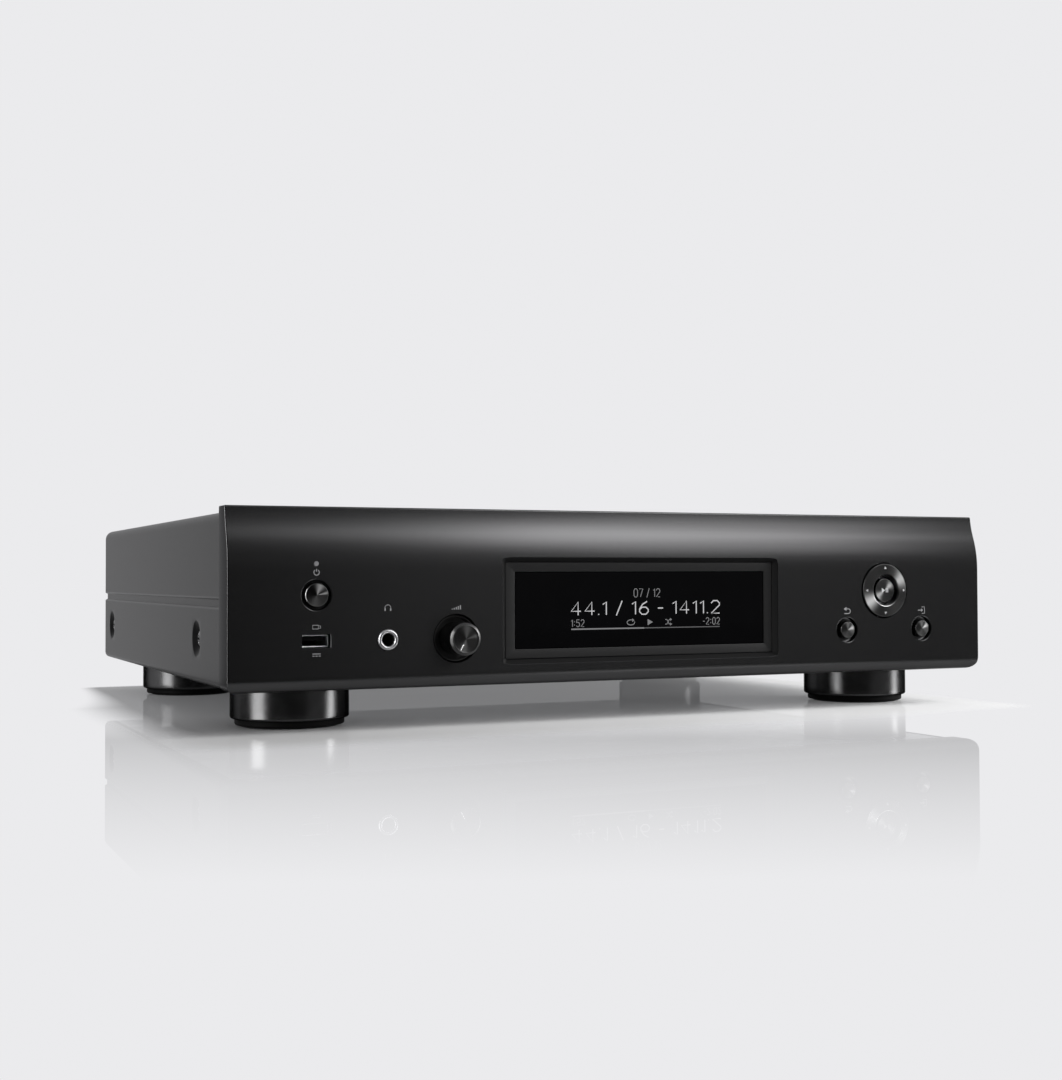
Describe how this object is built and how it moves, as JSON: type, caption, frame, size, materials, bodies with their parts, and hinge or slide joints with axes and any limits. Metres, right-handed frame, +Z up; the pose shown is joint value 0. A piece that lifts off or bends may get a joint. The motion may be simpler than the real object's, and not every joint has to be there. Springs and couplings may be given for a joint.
{
  "type": "network music streamer",
  "caption": "Full-width hi-fi network streamer with a curved front panel, display, volume knob, cursor ring, buttons, headphone and USB sockets, sheet-metal cover and round feet.",
  "frame": {"origin": "middle of the box's footprint, on the floor under the feet", "axes": "+X to the right seen from the front, +Y to the back, +Z up"},
  "size_m": [0.434, 0.375, 0.107],
  "materials": {
    "panel_black": "black anodised, fine brushed",
    "inner_plastic": "moulded",
    "zinc_screw": "zinc plated",
    "black_screw": "blackened",
    "display_trim": "satin",
    "display_black": "polished tinted pane",
    "circuit_board": "solder mask",
    "lens": "clear",
    "socket_steel": "nickel plated",
    "jack_chrome": "polished",
    "grey_parts": "moulded",
    "base_steel": "galvanised sheet",
    "rear_paint": "satin black",
    "cover_paint": "satin textured grey black",
    "foot_gloss": "polished black",
    "pad_rubber": "matt",
    "core_iron": "varnished laminations",
    "winding_copper": "taped winding",
    "capacitor_sleeve": "heat-shrunk sleeve",
    "sink_aluminium": "extruded",
    "brass_parts": "gilt",
    "cable_pale": "flat cable",
    "lead_rubber": "insulated wire",
    "button_metal": "spun, dark anodised",
    "ring_metal": "spun, dark anodised",
    "knob_metal": "spun, black anodised",
    "shaft_steel": "turned"
  },
  "bodies": {
    "chassis": {"front_panel": "panel_black", "front_frame": "inner_plastic", "front_screws": "zinc_screw", "display_frame": "display_trim", "display_window": "display_black", "display_module": "circuit_board", "standby_lens": "lens", "usb_socket": "socket_steel", "usb_insert": "inner_plastic", "phones_jack": "inner_plastic", "phones_ring": "jack_chrome", "volume_well": "inner_plastic", "volume_pot": "grey_parts", "phones_board": "circuit_board", "left_board": "circuit_board", "right_board": "circuit_board", "key_switches": "grey_parts", "base_tray": "base_steel", "rear_panel": "rear_paint", "top_cover": "cover_paint", "side_screws": "black_screw", "rear_screws": "black_screw", "foot_front_left": "foot_gloss", "foot_front_right": "foot_gloss", "foot_rear_left": "foot_gloss", "foot_rear_right": "foot_gloss", "foot_pads": "pad_rubber", "foot_screws": "zinc_screw", "transformer_core": "core_iron", "transformer_winding": "winding_copper", "supply_board": "circuit_board", "capacitors": "capacitor_sleeve", "heat_sink": "sink_aluminium", "mains_inlet": "inner_plastic", "mains_blades": "brass_parts", "audio_board": "circuit_board", "phono_blocks": "inner_plastic", "phono_sockets": "brass_parts", "optical_sockets": "inner_plastic", "network_board": "circuit_board", "network_shield": "socket_steel", "lan_socket": "socket_steel", "usb_b_socket": "socket_steel", "hdmi_socket": "socket_steel", "socket_inserts": "inner_plastic", "control_jacks": "inner_plastic", "antenna_sockets": "brass_parts", "ribbon_cables": "cable_pale", "internal_leads": "lead_rubber", "board_standoffs": "brass_parts", "board_screws": "zinc_screw"},
    "power": {"power_button": "button_metal"},
    "volume": {"volume_knob": "knob_metal", "volume_shaft": "shaft_steel"},
    "gimbal": {"cursor_carrier": "shaft_steel"},
    "cursor": {"cursor_ring": "ring_metal"},
    "enter": {"enter_button": "button_metal"},
    "back": {"back_button": "button_metal"},
    "source": {"source_button": "button_metal"}
  },
  "joints": [
    {"name": "power_push", "type": "slide", "parent": "chassis", "child": "power", "axis": [0, 1, 0], "range_m": [0, 0.0012], "stiffness_N_per_m": 500, "springref_m": -0.002},
    {"name": "volume_turn", "type": "hinge", "parent": "chassis", "child": "volume", "pos_m": [-0.105, -0.1745, 0.0438], "axis": [0, 1, 0], "range_deg": [0, 300]},
    {"name": "cursor_left_right", "type": "hinge", "parent": "chassis", "child": "gimbal", "pos_m": [0.151, -0.167, 0.0653], "axis": [0, 0, 1], "range_deg": [-2, 2], "stiffness_Nm_per_rad": 0.5},
    {"name": "cursor_up_down", "type": "hinge", "parent": "gimbal", "child": "cursor", "pos_m": [0.151, -0.167, 0.0653], "axis": [1, 0, 0], "range_deg": [-2, 2], "stiffness_Nm_per_rad": 0.5},
    {"name": "enter_push", "type": "slide", "parent": "chassis", "child": "enter", "axis": [0, 1, 0], "range_m": [0, 0.0008], "stiffness_N_per_m": 500, "springref_m": -0.002},
    {"name": "back_push", "type": "slide", "parent": "chassis", "child": "back", "axis": [0, 1, 0], "range_m": [0, 0.001], "stiffness_N_per_m": 500, "springref_m": -0.002},
    {"name": "source_push", "type": "slide", "parent": "chassis", "child": "source", "axis": [0, 1, 0], "range_m": [0, 0.001], "stiffness_N_per_m": 500, "springref_m": -0.002}
  ]
}
